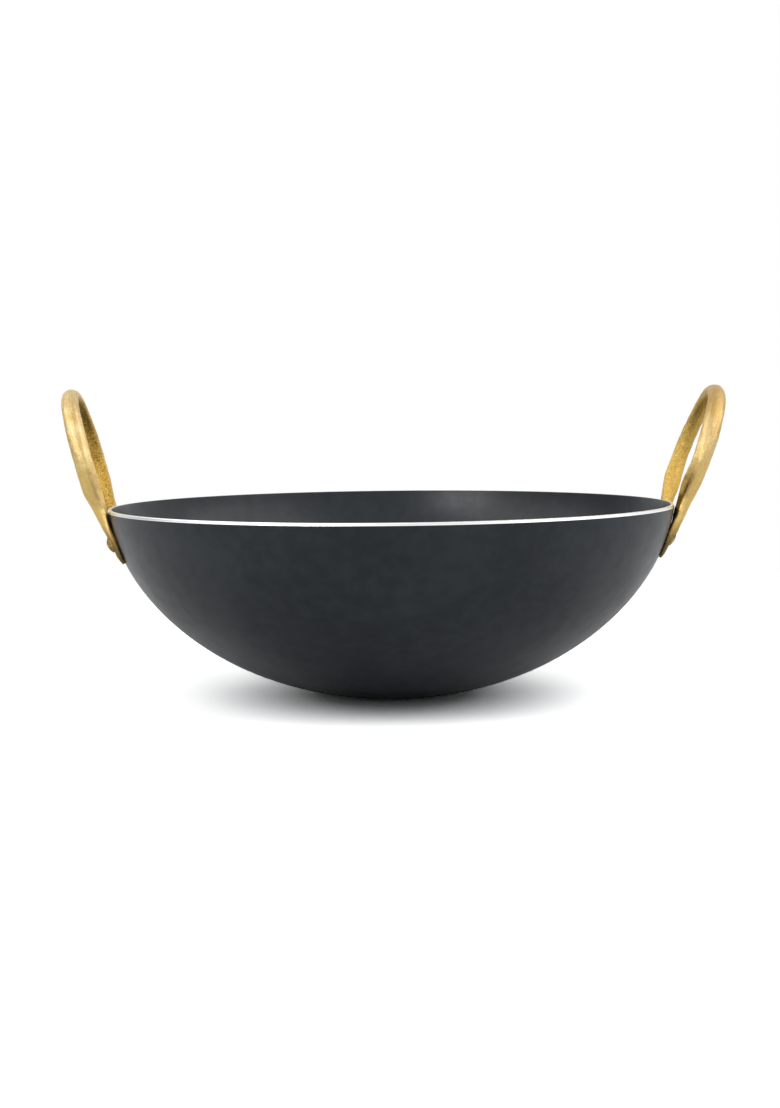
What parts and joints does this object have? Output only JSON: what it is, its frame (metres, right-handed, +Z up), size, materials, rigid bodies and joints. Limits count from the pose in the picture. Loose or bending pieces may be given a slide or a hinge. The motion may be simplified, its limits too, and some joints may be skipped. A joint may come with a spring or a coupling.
{
  "type": "kadai",
  "caption": "Deep round-bottomed pan with a flattened foot, a bright turned rim and standing brass ring handles riveted to its wall.",
  "frame": {"origin": "middle of the flat foot, where the pan stands", "axes": "+X from the pan's middle to the right handle, +Y away from the viewer of the front, +Z up"},
  "size_m": [0.3271, 0.2796, 0.1536],
  "materials": {
    "dark_anodised_aluminium": "hard-anodised charcoal, satin, with a bare turned rim",
    "cast_brass": "cast and filed by hand, satin",
    "rivet_brass": "peened by hand, dull"
  },
  "bodies": {
    "root": {"bowl": "dark_anodised_aluminium", "left_handle": "cast_brass", "right_handle": "cast_brass", "left_rivets": "rivet_brass", "right_rivets": "rivet_brass"}
  },
  "joints": []
}
